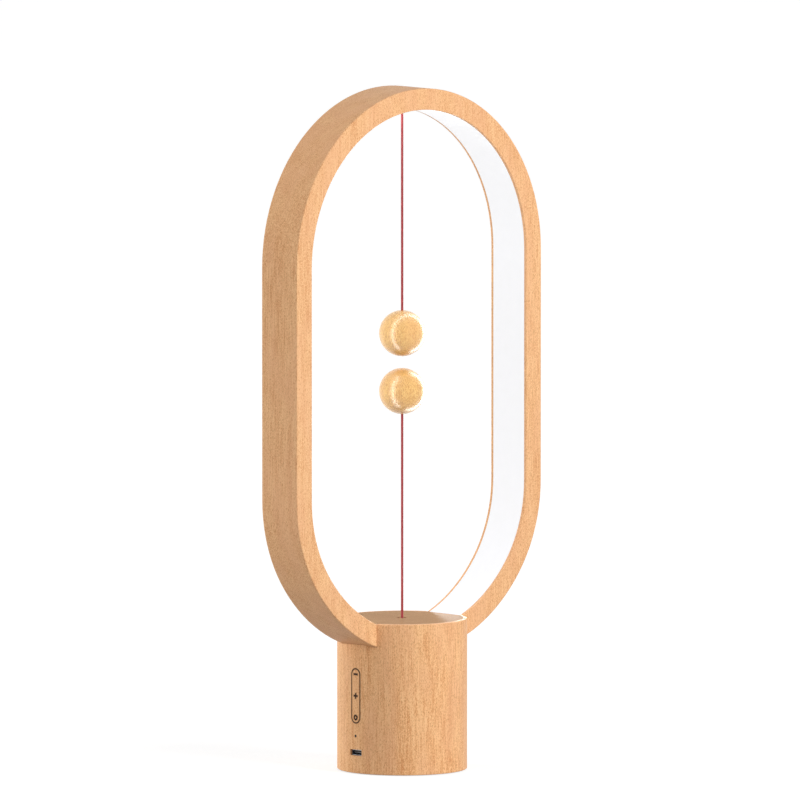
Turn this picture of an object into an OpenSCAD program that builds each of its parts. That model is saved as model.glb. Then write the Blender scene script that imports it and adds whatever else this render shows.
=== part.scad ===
// Balance lamp: a wooden ring on a drum base, lit from its inner face, switched by
// two balls on cords whose magnets pull towards each other across a gap.
// Millimetres, +Z up, origin at the middle of the surface the lamp stands on.
// The ring lies in the XZ plane; the touch strip and the socket face -X.

/* [Ring] */
// Height of the whole lamp
lamp_h = 400; // [390:1:410]
// Width of the ring
ring_w = 200; // [196:1:206]
// Thickness of the ring, from its outer to its inner face
ring_wall = 12.5; // [12.2:0.1:13]
// Depth of the ring, front to back
ring_depth = 29.3; // [28.6:0.1:30]
// Width of the wooden lip on each side of the light band
lip_w = 1.8; // [1.5:0.1:2.1]
// Depth of the channel behind the light band
channel_depth = 5.5; // [5.2:0.1:5.8]
// Radius of the lower side bends, at the outer face
side_bend_r = 90; // [88:1:92]
// How far the ring's underside lies below the top of the base
ring_sink = 19.8; // [19.4:0.1:20.2]
// Rounding of the ring's outer corners
ring_edge_r = 0.8; // [0.5:0.1:1.1]
// Rounding of the lips' corners
lip_edge_r = 0.4; // [0.2:0.1:0.6]

/* [Light] */
// Thickness of the light band's skin
band_t = 1.6; // [1.4:0.1:2]
// Thickness of the light band's two legs
band_leg_t = 1.2; // [1:0.1:1.5]
// Width of the flexible light strip
strip_w = 12; // [11:0.5:13]
// Thickness of the flexible light strip
strip_t = 0.4; // [0.3:0.05:0.5]
// Height of one light chip
chip_h = 1.2; // [0.8:0.1:1.4]
// Length of one light chip along the strip
chip_len = 3.5; // [3:0.1:4]
// Width of one light chip
chip_w = 2.8; // [2.4:0.1:3.2]
// Spacing of the light chips
chip_pitch = 14; // [12:0.5:16]
// Distance from the lamp's axis at which the light band ends, under the base's top
band_end_x = 26; // [25.5:0.1:26.4]
// Distance from the lamp's axis at which the light strip ends
strip_end_x = 24.5; // [24:0.1:25]

/* [Balls and cords] */
// Radius of each ball
ball_r = 13.5; // [13:0.1:14]
// Gap between the two balls
ball_gap = 6.9; // [6:0.1:8]
// Height of the middle of that gap
gap_z = 239; // [234:1:244]
// Diameter of the cords
cord_d = 1.5; // [1.3:0.1:1.6]
// Radius of the knots that the cords hang from
knot_r = 2.2; // [2.1:0.05:2.3]
// Radius of the knot inside each ball
ball_knot_r = 1.9; // [1.7:0.1:2]
// Radius of each magnet
magnet_r = 4.95; // [4.5:0.05:5.1]
// Thickness of each magnet
magnet_t = 5; // [4:0.5:5.5]
// Thickness of the wooden plug over each magnet, at its middle
plug_t = 2.2; // [2:0.1:2.5]

/* [Cord seats] */
// Outer radius of the upper seat
top_seat_r = 3.6; // [3.5:0.05:3.8]
// Height of the upper pivot above the light band's surface
top_pivot_h = 3; // [2.9:0.05:3.1]
// Radius of the upper seat's mouth
top_mouth_r = 2.85; // [2.8:0.05:2.95]
// How deep the upper seat is pressed into the ring's wood
top_seat_grip = 3; // [2.5:0.1:3.5]
// Depth of the lower pivot below the top of the base
low_pivot_depth = 4.6; // [4.5:0.05:4.7]
// Outer radius of the lower seat
low_seat_r = 4.2; // [4:0.1:4.5]
// Radius of the lower seat's mouth
low_mouth_r = 2.5; // [2.45:0.05:2.6]
// Radius of the hole in the top of the base
top_hole_r = 2.85; // [2.8:0.05:3]
// Thickness of the wood over the lower seat
top_hole_t = 1.2; // [1.1:0.05:1.3]
// Radius of the lower seat's flange
low_flange_r = 5.6; // [5.2:0.1:6]
// Thickness of the lower seat's flange
low_flange_t = 0.9; // [0.8:0.05:1]

/* [Base] */
// Diameter of the base
base_d = 76; // [75:0.5:78]
// Height of the top of the base
base_h = 89; // [88:0.5:92]
// Thickness of the base's wooden wall
base_wall = 6; // [5.8:0.1:6.2]
// Rounding of the base's upper and lower rims
base_edge_r = 0.6; // [0.4:0.1:0.9]
// Width of the rim around the inset top
rim_w = 2.2; // [2:0.1:2.6]
// Thickness of the inset top
top_t = 5; // [4.8:0.1:5.2]
// How far the foot ring stands out below the wood
foot_proud = 0.5; // [0.4:0.1:0.8]
// Thickness of the foot ring
foot_t = 0.9; // [0.9:0.1:1.2]
// Distance of the foot ring from the base's outer face
foot_inset = 6; // [5.5:0.1:7]
// Width of the foot ring
foot_w = 9; // [7:0.5:11]
// Thickness of the bottom cover
cover_t = 3; // [2.8:0.1:3.4]
// Width of the wooden rim around the bottom cover
cover_rim_w = 1.4; // [1.3:0.1:1.6]
// Thickness of the steel weight
weight_t = 5; // [4:0.5:5]
// Room between the steel weight and the wooden wall
weight_gap = 2.5; // [1.5:0.1:4]

/* [Touch strip and socket] */
// Depth of the middle touch mark below the top of the base
key_drop = 43; // [42:0.5:44]
// Spacing of the touch marks
key_pitch = 12.7; // [12.4:0.1:12.9]
// Length of the engraved outline
outline_len = 32.3; // [31.8:0.1:33]
// Width of the engraved outline
outline_w = 7.3; // [7:0.1:8]
// Width of the engraved outline's line
outline_line = 0.5; // [0.4:0.05:0.6]
// Depth of the engraving
mark_depth = 0.35; // [0.25:0.05:0.5]
// Size of each mark
mark_size = 3.2; // [2.7:0.1:3.2]
// Line width of each mark
mark_line = 0.9; // [0.6:0.05:0.9]
// How far up the indicator stands from the socket's opening to the touch outline, as a share of that wood
indicator_share = 0.52; // [0.45:0.01:0.6]
// Diameter of the indicator light
indicator_d = 1.4; // [1.2:0.1:1.6]
// Height of the charging socket's middle
socket_z = 12.65; // [12.4:0.05:13.2]
// Width of the socket's opening in the wood
socket_open_w = 9.4; // [9.2:0.1:9.8]
// Height of the socket's opening in the wood
socket_open_h = 3.6; // [3.5:0.1:3.8]
// Width of the socket's metal shell
socket_w = 8.9; // [8.6:0.1:9]
// Height of the socket's metal shell
socket_h = 3.2; // [3:0.1:3.3]
// How far the socket's mouth lies behind the base's surface
socket_inset = 1.4; // [1.2:0.1:1.8]
// Wood left in front of the touch film
film_wood = 3.6; // [3.2:0.1:4]

/* [Pull switch] */
// How far the lower cord pulls the switch up
pull_travel = 1.5; // [1.3:0.1:1.6]
// Radius of the pull rod
rod_r = 1; // [0.9:0.05:1.1]
// Radius of the collar on the pull rod
collar_r = 3; // [2.8:0.1:3]
// Thickness of that collar
collar_t = 1.3; // [1.1:0.1:1.5]
// Length of the return spring when the rod is pulled up
spring_len = 6.5; // [6.2:0.1:7]
// Mean radius of the return spring's coils
spring_r = 1.9; // [1.8:0.05:2]
// Diameter of the return spring's wire
spring_wire_d = 0.5; // [0.4:0.05:0.55]
// Number of the return spring's coils
spring_turns = 5; // [4:1:6]
// Length of the rod's tip below the collar
tip_len = 2.6; // [2.4:0.1:3]
// Distance from the lever's hinge to the rod
lever_arm = 8; // [7.8:0.1:8.2]
// Thickness of the lever
lever_t = 0.4; // [0.35:0.05:0.45]
// Length of the switch body
switch_len = 20; // [19:0.5:21]
// Width of the switch body
switch_w = 6.4; // [6.2:0.1:6.4]
// Height of the switch body
switch_h = 10; // [9.5:0.5:10.5]
// Distance from the lever's hinge to the plunger
plunger_arm = 5; // [4.8:0.1:5.2]
// Radius of the plunger
plunger_r = 0.9; // [0.8:0.05:1]

/* [Inner frame and electronics] */
// Height of the ring saddle below the ring's underside
saddle_t = 9.2; // [9:0.1:9.6]
// How far the saddle's guide reaches below it
guide_len = 3; // [2.5:0.1:3.2]
// Radius of the guide
guide_r = 3; // [2.8:0.1:3.1]
// Distance of the two ring screws from the lamp's axis
ring_screw_x = 17; // [16:0.5:18]
// Thickness of the frame's walls and floor
frame_t = 2; // [1.8:0.1:2.2]
// Thickness of the circuit board
board_t = 1.6; // [1.2:0.1:1.6]
// Half the width of the circuit board
board_half_w = 12; // [11.5:0.1:12.2]
// Room between the battery and the ring saddle
battery_room = 6.9; // [5:0.1:10]
// Width of the battery
battery_w = 34; // [30:1:35]
// Thickness of the battery
battery_t = 10; // [8:0.5:11]
// Diameter of the wires
wire_d = 1.1; // [0.9:0.1:1.2]

/* [Hidden] */
$fn = 96;

// Clearances
fit = 0.05;       // running fits and pieces that touch
loose = 0.1;      // pieces set into wood
eps = 1;          // how far a cut runs past what it cuts
edge_steps = 4;   // straight steps in a small rounding

// Ring: side bends centred at +-side_x, bottom bend centred on the axis. Their centres
// stand in a 3:4:5 triangle, so that the bends meet in short, exact numbers.
ring_r = ring_w / 2;
side_x = ring_r - side_bend_r;
bottom_rise = side_x * 3 / 4;
bottom_r = side_bend_r + side_x * 5 / 4;
join_a = atan2(3, 4);
ring_low_z = base_h - ring_sink;
bottom_cz = ring_low_z + bottom_r;
bend_z = bottom_cz - bottom_rise;
top_cz = lamp_h - ring_r;
floor_u = ring_wall - channel_depth;
inner_bottom_r = bottom_r - ring_wall;
half_lap = 10;

// Upper pendulum
cord_r = cord_d / 2;
cavity_r = knot_r + fit;
throat_h = 1.3;
throat_a = asin(throat_h / cavity_r);
top_pivot_z = lamp_h - ring_wall + top_pivot_h;
top_seat_top_z = lamp_h - floor_u + top_seat_grip;
upper_z = gap_z + ball_gap / 2 + ball_r;
lower_z = gap_z - ball_gap / 2 - ball_r;
knot_roof_z = plug_t + magnet_t + 2 * fit + 2 * ball_knot_r + 2 * fit - ball_r;
ball_knot_z = knot_roof_z - ball_knot_r - fit;
magnet_z = plug_t + fit - ball_r;
pocket_r = magnet_r + loose;
rod_room = 0.6;                            // round the pull rod and the balls' knots
knot_room_r = ball_knot_r + rod_room;

// Base
base_r = base_d / 2;
inner_r = base_r - base_wall;
top_r = base_r - rim_w;
foot_r = base_r - foot_inset;
weight_r = inner_r - weight_gap;
top_under_z = base_h - top_t;
cover_r = base_r - cover_rim_w;
ledge_z = foot_t + cover_t;
low_pivot_z = base_h - low_pivot_depth;
low_seat_top_z = base_h - top_hole_t;
slot_w = ring_depth + 2 * loose;
thin_top = 0.8;
top_end_x = sqrt(pow(inner_bottom_r - loose, 2) - pow(bottom_cz - base_h + thin_top, 2));
weight_z = ledge_z + fit;
frame_z = weight_z + weight_t + fit;
cover_screw_inset = 3.6;
cover_screw_pcr = base_r - cover_screw_inset;
screw_r = 0.9;
screw_head_r = 1.5;
screw_head_t = 1.3;
flat_head_t = 0.95;
screw_tip = 1;

// Touch strip side: board, film and socket
key_z = base_h - key_drop;
board_gap = 2.8;                           // from the wooden wall to the board
board_below = 5;                           // how far the board reaches below the socket
board_room = 3.2;                          // from the board to the ring
bay_gap = 1.2;                             // from the board to the frame and the weight
board_x = inner_r - board_gap;             // outer face, on the -X side
board_in_x = board_x - board_t;            // inner face
board_low_z = socket_z - board_below;
board_top_z = ring_low_z - board_room;
bay_x = board_in_x - bay_gap;
film_x = base_r - film_wood;
film_t = 0.2;
film_half_w = 5;
film_over = 1;                             // how far the film reaches past the outline
film_low_z = key_z - outline_len / 2 - film_over;
film_top_z = key_z + outline_len / 2 + film_over;
film_bay_half_w = 7;
touch_spring_r = 2;
touch_spring_wall = 0.5;
wall_cut = 2;                              // how far the cuts in the wall start inside it
socket_x = base_r - socket_inset;
socket_wall = 0.3;
socket_r = 1;                              // rounding of the shell's corners
socket_open_r = 0.5;                       // rounding of the opening's corners
socket_back_t = 1;                         // thickness of the shell's back wall
socket_bay_x = socket_x + fit;
indicator_r = indicator_d / 2;
socket_top_z = socket_z + socket_open_h / 2;
indicator_z = socket_top_z + indicator_share * (key_z - outline_len / 2 - socket_top_z);

// Pull switch, from the saddle downwards
tip_clear = 0.9;                           // left under the rod's tip when the cord is slack
lever_over = 2;                            // how far the lever reaches past the rod
saddle_z = ring_low_z - saddle_t;
guide_z = saddle_z - guide_len;
collar_z = guide_z - spring_len - fit;
tip_z = collar_z - collar_t - tip_len;
lever_z = tip_z - fit - lever_t / 2;       // middle of the lever's thickness
plunger_z = lever_z - lever_t / 2 - fit - plunger_r;
switch_top_z = tip_z - pull_travel - tip_clear;
switch_low_z = switch_top_z - switch_h;
plunger_x = plunger_arm - lever_arm;
plunger_len = 2.9;
plunger_room = 1.6;                        // left under the plunger
ear_t = 0.8;
ear_half_w = 1.4;
ear_over = 1;                              // how far the ears reach above the lever's hinge
lever_side_gap = 0.5;
lever_half_w = switch_w / 2 - ear_t - lever_side_gap;
knuckle_r = 1;
pin_r = 0.4;
spine_y = switch_w / 2 + loose;
boss_y = spine_y + frame_t / 2;
boss_r = 2.4;
spine_x = 16;
boss_len = 5;
boss_floor = 1;                            // left behind the hole in a boss
tape_t = 0.3;
tape_side = 24;
battery_y = spine_y + frame_t + tape_t + 2 * fit;
battery_z = frame_z + frame_t + loose;
battery_h = saddle_z - battery_room - battery_z;
battery_edge_r = 2.5;
wire_r = wire_d / 2;
wire_gap = 0.05;
lead_x = board_in_x - wire_gap - wire_r;
lead_ys = [-1.6, -4.4];
lead_lap = 12;                             // how far the strip's leads run down the board
low_boss_up = 8;
top_boss_down = 4;
board_screw_zs = [frame_z + low_boss_up, saddle_z - top_boss_down];

WOOD = "#dfa873";
PALE = "#f7f6f2";

// ---------------------------------------------------------------- shared shapes

function arc_points(c, r, a0, a1, n) =
    [for (i = [0:n]) let (a = a0 + (a1 - a0) * i / n) c + r * [cos(a), sin(a)]];

function rounded_rect(w, h, r, n) = concat(
    arc_points([w / 2 - r, h / 2 - r], r, 0, 90, n),
    arc_points([r - w / 2, h / 2 - r], r, 90, 180, n),
    arc_points([r - w / 2, r - h / 2], r, 180, 270, n),
    arc_points([w / 2 - r, r - h / 2], r, 270, 360, n));

// Angle from straight down of the point on a bottom bend of radius r that lies at x
function down_a(r, x) = asin(x / r);

// Height at x of the bottom bend of radius r
function bottom_z(r, x) = bottom_cz - sqrt(r * r - x * x);

// A profile drawn as (depth from the outer face, y), swept round an arc in the XZ plane
module bend(centre, r, a0, a1)
    translate([centre[0], 0, centre[1]]) rotate([90, 0, 0]) rotate([0, 0, a0])
        rotate_extrude(angle = a1 - a0) translate([r, 0]) mirror([1, 0]) children();

// The same profile along the whole ring above the bottom bend
module upper_track() {
    bend([0, top_cz], ring_r, 0, 180) children();
    for (side = [0, 1]) mirror([side, 0, 0]) {
        translate([ring_r, 0, bend_z]) linear_extrude(top_cz - bend_z)
            mirror([1, 0]) children();
        bend([side_x, bend_z], side_bend_r, -join_a, 0) children();
    }
}

// The same profile down both sides of the bottom bend as far as end_x
module open_track(end_x, u) {
    upper_track() children();
    end_a = down_a(bottom_r - u, end_x);
    for (side = [0, 1]) mirror([side, 0, 0])
        bend([0, bottom_cz], bottom_r, join_a - 180, -90 - end_a) children();
}

// The same profile round the whole ring: its two halves lap where they meet
module closed_track() open_track(-half_lap, 0) children();

// Puts children on the ring at an angle of a bend, u in from its outer face
module on_bend(centre, r, a, u)
    translate([centre[0], 0, centre[1]]) rotate([0, -a, 0]) translate([r - u, 0, 0]) children();

// Everything inside a bottom bend of radius r, as wide as the slots for the ring
module inside_bottom(r, w)
    translate([0, w / 2, bottom_cz]) rotate([90, 0, 0]) cylinder(r = r, h = w, $fn = 180);

// A turned seat whose pivot is at the origin and whose mouth faces down
module cord_seat(outer_r, mouth_h, mouth_r, back_h)
    rotate_extrude() polygon(concat(
        [[mouth_r, -mouth_h], [outer_r, -mouth_h], [outer_r, back_h], [cavity_r, back_h]],
        arc_points([0, 0], cavity_r, 0, -throat_a, edge_steps)));

module rod_z(r, z0, z1) translate([0, 0, z0]) cylinder(r = r, h = z1 - z0);

// A rod along -X on the touch side, from x0 in to x1 out
module rod_x(r, x0, x1, y, z)
    translate([-x1, y, z]) rotate([0, 90, 0]) cylinder(r = r, h = x1 - x0);

// A flat shape drawn as (y, z) on the touch side, between x0 and x1 from the axis
module plate_x(x0, x1) translate([-x1, 0, 0]) rotate([90, 0, 90]) linear_extrude(x1 - x0) children();

// A countersunk screw pointing up, the face of its head at the origin
module wood_screw(len) {
    cylinder(r1 = screw_head_r, r2 = screw_r, h = screw_head_t);
    cylinder(r = screw_r, h = len - screw_tip);
    translate([0, 0, len - screw_tip]) cylinder(r1 = screw_r, r2 = screw_r / 4, h = screw_tip);
}

// ---------------------------------------------------------------- ring and light

module ring_profile() polygon(concat(
    arc_points([ring_edge_r, ring_edge_r - ring_depth / 2], ring_edge_r, 180, 270, edge_steps),
    arc_points([ring_wall - lip_edge_r, lip_edge_r - ring_depth / 2], lip_edge_r, 270, 360, edge_steps),
    [[ring_wall, lip_w - ring_depth / 2], [floor_u, lip_w - ring_depth / 2],
     [floor_u, ring_depth / 2 - lip_w], [ring_wall, ring_depth / 2 - lip_w]],
    arc_points([ring_wall - lip_edge_r, ring_depth / 2 - lip_edge_r], lip_edge_r, 0, 90, edge_steps),
    arc_points([ring_edge_r, ring_depth / 2 - ring_edge_r], ring_edge_r, 90, 180, edge_steps)));

module ring_frame() color(WOOD) difference() {
    closed_track() ring_profile();
    rod_z(top_seat_r + fit, lamp_h - floor_u - eps, top_seat_top_z + fit);
    rod_z(rod_r + rod_room, ring_low_z - eps, ring_low_z + ring_wall);
    for (x = [-ring_screw_x, ring_screw_x])
        translate([x, 0, 0]) rod_z(screw_r + fit, ring_low_z - eps, ring_screw_top_z + fit);
    for (y = lead_ys)
        translate([-lead_x, y, 0]) rod_z(wire_r + loose, ring_low_z, ring_low_z + ring_wall + eps);
}
ring_screw_top_z = bottom_z(bottom_r - floor_u, ring_screw_x) - screw_tip;

band_half_w = ring_depth / 2 - lip_w - fit;
module band_profile() polygon([
    [ring_wall, -band_half_w], [ring_wall, band_half_w],
    [floor_u + fit, band_half_w], [floor_u + fit, band_half_w - band_leg_t],
    [ring_wall - band_t, band_half_w - band_leg_t], [ring_wall - band_t, band_leg_t - band_half_w],
    [floor_u + fit, band_leg_t - band_half_w], [floor_u + fit, -band_half_w]]);

module light_band() color(PALE) difference() {
    open_track(band_end_x, ring_wall) band_profile();
    rod_z(top_seat_r + loose, lamp_h - ring_wall - eps, lamp_h - floor_u);
}

strip_u = floor_u + loose;
module light_strip() color("#f2efe6") difference() {
    open_track(strip_end_x, strip_u)
        translate([strip_u, -strip_w / 2]) square([strip_t, strip_w]);
    rod_z(top_seat_r + loose, lamp_h - ring_wall, lamp_h - floor_u + eps);
}

chip_u = strip_u + strip_t + fit + chip_h / 2;
module light_chip() cube([chip_h, chip_w, chip_len], center = true);

// Chips spread evenly over a bend from a0 to a1
module chips_on_bend(centre, r, a0, a1) {
    count = floor((r - chip_u) * (a1 - a0) * PI / 180 / chip_pitch);
    for (i = [0:count - 1])
        on_bend(centre, r, a0 + (a1 - a0) * (i + 0.5) / count, chip_u) light_chip();
}

module light_chips() color("#f3d774") {
    top_half = floor((ring_r - chip_u) * 90 * PI / 180 / chip_pitch);
    leg_count = floor((top_cz - bend_z) / chip_pitch);
    for (side = [0, 1]) mirror([side, 0, 0]) {
        for (i = [0:top_half - 1])
            on_bend([0, top_cz], ring_r, 90 * (i + 0.5) / top_half, chip_u) light_chip();
        for (i = [0:leg_count - 1])
            on_bend([0, bend_z + (top_cz - bend_z) * (i + 0.5) / leg_count], ring_r, 0, chip_u)
                light_chip();
        chips_on_bend([side_x, bend_z], side_bend_r, -join_a, 0);
        chips_on_bend([0, bottom_cz], bottom_r,
            down_a(bottom_r - chip_u, strip_end_x + chip_len) - 90, -join_a);
    }
}

module strip_leads() color("#b03030") for (y = lead_ys)
    translate([-lead_x, y, 0])
        rod_z(wire_r, board_top_z - lead_lap, bottom_z(bottom_r - floor_u, lead_x - wire_r));

module top_cord_seat() color("#c9a24a") translate([0, 0, top_pivot_z])
    cord_seat(top_seat_r, top_pivot_h, top_mouth_r, top_seat_top_z - top_pivot_z);

module top_cord_knot() color("#b3202c") translate([0, 0, top_pivot_z]) sphere(r = knot_r);

// ---------------------------------------------------------------- balls and cords

// Each ball piece is drawn about the ball's centre with the magnet below
module ball() color(WOOD) difference() {
    sphere(r = ball_r);
    rod_z(pocket_r, -ball_r - eps, magnet_z + magnet_t + fit);
    rod_z(knot_room_r, -ball_r, knot_roof_z);
    rod_z(cord_r + fit, knot_roof_z - eps, ball_r + eps);
}

module magnet() color("silver") rod_z(magnet_r, magnet_z, magnet_z + magnet_t);

module magnet_plug() color(WOOD) intersection() {
    sphere(r = ball_r);
    rod_z(pocket_r - fit, -ball_r - eps, magnet_z - fit);
}

module ball_knot() color("#b3202c") difference() {
    translate([0, 0, ball_knot_z]) sphere(r = ball_knot_r);
    rod_z(cord_r + fit, ball_knot_z, ball_knot_z + ball_knot_r + eps);
}

module at_upper() translate([0, 0, upper_z]) children();
module at_lower() translate([0, 0, lower_z]) mirror([0, 0, 1]) children();

module upper_cord() color("#c8323c")
    rod_z(cord_r, upper_z + ball_knot_z + fit, top_pivot_z - knot_r - fit);
module upper_ball() at_upper() ball();
module upper_magnet() at_upper() magnet();
module upper_magnet_plug() at_upper() magnet_plug();
module upper_ball_knot() at_upper() ball_knot();

module lower_cord() color("#c8323c")
    rod_z(cord_r, low_pivot_z + knot_r + fit, lower_z - ball_knot_z - fit);
module lower_ball() at_lower() ball();
module lower_magnet() at_lower() magnet();
module lower_magnet_plug() at_lower() magnet_plug();
module lower_ball_knot() at_lower() ball_knot();

// ---------------------------------------------------------------- base

module outline_mark() difference() {
    polygon(rounded_rect(outline_w, outline_len, outline_w / 2, 12));
    polygon(rounded_rect(outline_w - 2 * outline_line, outline_len - 2 * outline_line,
        outline_w / 2 - outline_line, 12));
}

module bar_mark() square([mark_size, mark_line], center = true);

module cross_mark() {
    bar_mark();
    rotate(90) bar_mark();
}

module circle_mark() difference() {
    circle(d = mark_size, $fn = 48);
    circle(d = mark_size - 2 * mark_line, $fn = 48);
}

module marks() {
    translate([0, key_z]) outline_mark();
    translate([0, key_z + key_pitch]) bar_mark();
    translate([0, key_z]) cross_mark();
    translate([0, key_z - key_pitch]) circle_mark();
}

module engraving() intersection() {
    plate_x(base_r - wall_cut, base_r + eps) marks();
    difference() {
        rod_z(base_r + eps, 0, base_h);
        rod_z(base_r - mark_depth, -eps, base_h + eps);
    }
}

module base_profile() polygon(concat(
    [[cover_r, foot_proud]],
    arc_points([base_r - base_edge_r, foot_proud + base_edge_r], base_edge_r, 270, 360, edge_steps),
    arc_points([base_r - base_edge_r, base_h - base_edge_r], base_edge_r, 0, 90, edge_steps),
    [[top_r, base_h], [top_r, top_under_z], [inner_r, top_under_z],
     [inner_r, ledge_z], [cover_r, ledge_z]]));

module cover_screw_places() for (a = [45:90:315])
    rotate(a) translate([cover_screw_pcr, 0, 0]) children();

cover_screw_len = 11;
module base_body() color(WOOD) difference() {
    rotate_extrude() base_profile();
    inside_bottom(bottom_r + loose, slot_w);
    engraving();
    plate_x(inner_r - wall_cut, socket_bay_x) translate([0, socket_z])
        square([socket_w + 4 * loose, socket_h + 4 * loose], center = true);
    plate_x(socket_bay_x - eps, base_r + eps) translate([0, socket_z])
        polygon(rounded_rect(socket_open_w, socket_open_h, socket_open_r, edge_steps));
    plate_x(inner_r - wall_cut, film_x) translate([-film_bay_half_w, film_low_z - film_over])
        square([2 * film_bay_half_w, film_top_z - film_low_z + 2 * film_over]);
    rod_x(indicator_r + fit, inner_r - wall_cut, base_r + eps, 0, indicator_z);
    cover_screw_places() rod_z(screw_r + fit, ledge_z - eps, foot_t + cover_screw_len + fit);
}

module base_top() color(WOOD) difference() {
    rod_z(top_r - loose, top_under_z + fit, base_h);
    difference() {
        translate([-base_r, -slot_w / 2, top_under_z - eps]) cube([base_d, slot_w, top_t + 2 * eps]);
        inside_bottom(inner_bottom_r - loose, slot_w + 2 * eps);
    }
    for (side = [0, 1]) mirror([side, 0, 0])
        translate([top_end_x, -slot_w / 2, top_under_z - eps]) cube([base_r, slot_w, top_t + 2 * eps]);
    rod_z(top_hole_r, top_under_z - eps, base_h + eps);
    rod_z(low_seat_r + fit, top_under_z - eps, low_seat_top_z + fit);
}

module low_cord_seat() color("#c9a24a") translate([0, 0, low_pivot_z]) mirror([0, 0, 1]) {
    back_h = low_pivot_z - top_under_z;
    cord_seat(low_seat_r, low_seat_top_z - low_pivot_z, low_mouth_r, back_h);
    translate([0, 0, back_h]) difference() {
        cylinder(r = low_flange_r, h = low_flange_t);
        translate([0, 0, -eps]) cylinder(r = cavity_r, h = low_flange_t + 2 * eps);
    }
}

module low_cord_knot() color("#b3202c") translate([0, 0, low_pivot_z]) sphere(r = knot_r);

saddle_r = inner_r - 2 * loose;
saddle_side_h = 4;
module ring_saddle() color("#e9e6df") difference() {
    union() {
        rod_z(saddle_r, saddle_z, ring_low_z + saddle_side_h);
        rod_z(guide_r, guide_z, saddle_z + eps);
    }
    inside_bottom(bottom_r + loose, slot_w);
    translate([-2 * bay_x, -base_r, saddle_z - eps]) cube([bay_x, base_d, base_h]);
    rod_z(rod_r + fit, guide_z - eps, ring_low_z);
    for (x = [-ring_screw_x, ring_screw_x]) translate([x, 0, saddle_z]) {
        translate([0, 0, -eps]) cylinder(r = screw_head_r + loose, h = screw_head_t + eps);
        cylinder(r = screw_r + loose, h = base_h);
    }
}

module ring_screws() color("#9a9ca0") for (x = [-ring_screw_x, ring_screw_x])
    translate([x, 0, saddle_z]) {
        cylinder(r = screw_head_r, h = screw_head_t - fit);
        cylinder(r = screw_r, h = ring_screw_top_z - saddle_z);
    }

// ---------------------------------------------------------------- pull switch

module pull_rod() color("#c9a24a") {
    rod_z(rod_r, tip_z + rod_r, low_pivot_z - knot_r - fit);
    rod_z(collar_r, collar_z - collar_t, collar_z);
    translate([0, 0, tip_z + rod_r]) sphere(r = rod_r);
}

// Rings of six points round the wire's middle line, eight to a coil
spring_z0 = collar_z + fit + spring_wire_d / 2;
spring_z1 = guide_z - fit - spring_wire_d / 2;
coil_rings = 12;
spring_rings = spring_turns * coil_rings;
spring_points = [
    for (i = [0:spring_rings], k = [0:5])
        let (a = 360 * i / coil_rings, b = 60 * k, s = spring_r + spring_wire_d / 2 * cos(b))
        [s * cos(a), s * sin(a),
         spring_z0 + (spring_z1 - spring_z0) * i / spring_rings + spring_wire_d / 2 * sin(b)]];
spring_faces = concat(
    [[for (k = [5:-1:0]) k]],
    [for (i = [0:spring_rings - 1], k = [0:5], half = [0, 1])
        let (a = 6 * i + k, b = 6 * i + (k + 1) % 6)
        half == 0 ? [a, b, b + 6] : [a, b + 6, a + 6]],
    [[for (k = [0:5]) 6 * spring_rings + k]]);
module return_spring() color("silver") polyhedron(spring_points, spring_faces);

module switch_ears() for (side = [0, 1]) mirror([0, side, 0])
    translate([-lever_arm - ear_half_w, switch_w / 2 - ear_t, switch_top_z - eps])
        cube([2 * ear_half_w, ear_t, lever_z - switch_top_z + ear_over + eps]);

switch_hole_x = switch_len / 2 - switch_w * 0.4;
switch_hole_z = switch_low_z + switch_h * 0.28;
pin_gap = 0.02;
module switch_body() color("#2b2b2e") difference() {
    union() {
        translate([-switch_len / 2, -switch_w / 2, switch_low_z]) cube([switch_len, switch_w, switch_h]);
        switch_ears();
    }
    translate([plunger_x, 0, 0])
        rod_z(plunger_r + fit, plunger_z + plunger_r - plunger_len - plunger_room, switch_top_z + eps);
    translate([-lever_arm, 0, lever_z]) rotate([90, 0, 0])
        cylinder(r = pin_r + pin_gap, h = switch_w + 2 * eps, center = true);
    for (x = [-switch_hole_x, switch_hole_x]) translate([x, 0, switch_hole_z]) rotate([90, 0, 0])
        cylinder(r = screw_r + loose, h = switch_w + 2 * eps, center = true);
}

module switch_lever() color("silver") translate([-lever_arm, 0, lever_z]) difference() {
    union() {
        translate([0, -lever_half_w, -lever_t / 2])
            cube([lever_arm + lever_over, 2 * lever_half_w, lever_t]);
        rotate([90, 0, 0]) cylinder(r = knuckle_r, h = 2 * lever_half_w, center = true);
    }
    rotate([90, 0, 0]) cylinder(r = pin_r + fit, h = switch_w, center = true);
}

module lever_pin() color("#9a9ca0") translate([-lever_arm, 0, lever_z]) rotate([90, 0, 0])
    cylinder(r = pin_r, h = switch_w - 2 * loose, center = true);

module switch_plunger() color("#c0392b") translate([plunger_x, 0, 0]) {
    rod_z(plunger_r, plunger_z + plunger_r - plunger_len, plunger_z);
    translate([0, 0, plunger_z]) sphere(r = plunger_r);
}

terminal_x = 7;
terminal_len = 3;
terminal_w = 2.4;
terminal_t = 0.5;
module switch_terminals() color("#c9a24a") for (x = [-terminal_x, terminal_x])
    translate([x - terminal_w / 2, -terminal_t / 2, switch_low_z - terminal_len])
        cube([terminal_w, terminal_t, terminal_len]);

module switch_screws() color("#9a9ca0") for (x = [-switch_hole_x, switch_hole_x])
    translate([x, 0, switch_hole_z]) rotate([90, 0, 0]) {
        translate([0, 0, switch_w / 2]) cylinder(r = screw_head_r, h = flat_head_t);
        translate([0, 0, 2 * loose - spine_y - frame_t])
            cylinder(r = screw_r, h = spine_y + frame_t + switch_w / 2);
    }

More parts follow.
